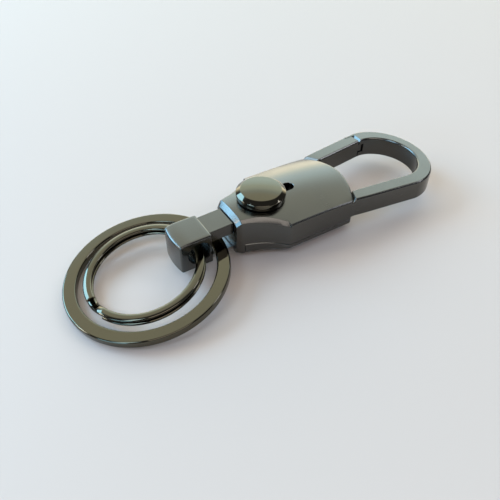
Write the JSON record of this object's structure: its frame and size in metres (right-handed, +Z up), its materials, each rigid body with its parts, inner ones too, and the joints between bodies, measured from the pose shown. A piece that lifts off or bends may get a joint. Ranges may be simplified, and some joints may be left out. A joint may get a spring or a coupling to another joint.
{
  "type": "carabiner keychain",
  "caption": "Metal carabiner keychain: spring gate loop, crowned body with a thumb slide that opens a ring hook, flat outer ring and inner split ring for keys.",
  "frame": {"origin": "centre of the object's box, at the floor it lies on", "axes": "+X from the key rings towards the loop, +Y towards the side of the gate, +Z up, the thumb knob on top"},
  "size_m": [0.0904, 0.035, 0.0132],
  "materials": {
    "satin_nickel": "satin black nickel plating over a zinc casting",
    "polished_nickel": "mirror polished black nickel plating",
    "plain_steel": "plain machined steel",
    "spring_steel": "bright spring wire",
    "slide_polymer": "black moulded polymer"
  },
  "bodies": {
    "body": {"hook_body": "satin_nickel", "back_cover": "satin_nickel", "cover_screw_1": "plain_steel", "cover_screw_2": "plain_steel", "cover_screw_3": "plain_steel", "cover_screw_4": "plain_steel", "eye_hook": "satin_nickel", "hook_pin": "plain_steel", "gate_pin": "plain_steel", "spring_rod": "plain_steel", "bolt_spring": "spring_steel", "gate_spring": "spring_steel"},
    "slide": {"thumb_knob": "polished_nickel", "knob_stem": "plain_steel", "stem_nut": "plain_steel", "slide_carriage": "slide_polymer", "lock_bolt": "plain_steel"},
    "gate_arm": {"gate": "satin_nickel"},
    "flat_ring": {"outer_ring": "polished_nickel"},
    "key_ring": {"inner_split_ring": "polished_nickel"}
  },
  "joints": [
    {"name": "bolt_slide", "type": "slide", "parent": "body", "child": "slide", "axis": [0.9993, 0, -0.0375], "range_m": [0, 0.0062], "stiffness_N_per_m": 400, "springref_m": -0.0075, "deforming": ["bolt_spring"]},
    {"name": "gate_swing", "type": "hinge", "parent": "body", "child": "gate_arm", "pos_m": [0.01625, 0.0076, 0.00522], "axis": [-0.0375, 0, -0.9993], "range_deg": [0, 16], "stiffness_Nm_per_rad": 0.02, "springref_deg": -11.46, "deforming": ["gate_spring"]},
    {"name": "outer_ring_swing", "type": "hinge", "parent": "body", "child": "flat_ring", "pos_m": [-0.01173, 0, 0.00462], "axis": [0, 1, 0], "range_deg": [-60, 90]},
    {"name": "inner_ring_swing", "type": "hinge", "parent": "body", "child": "key_ring", "pos_m": [-0.01641, 0, 0.00534], "axis": [0, 1, 0], "range_deg": [-35, 95]}
  ]
}
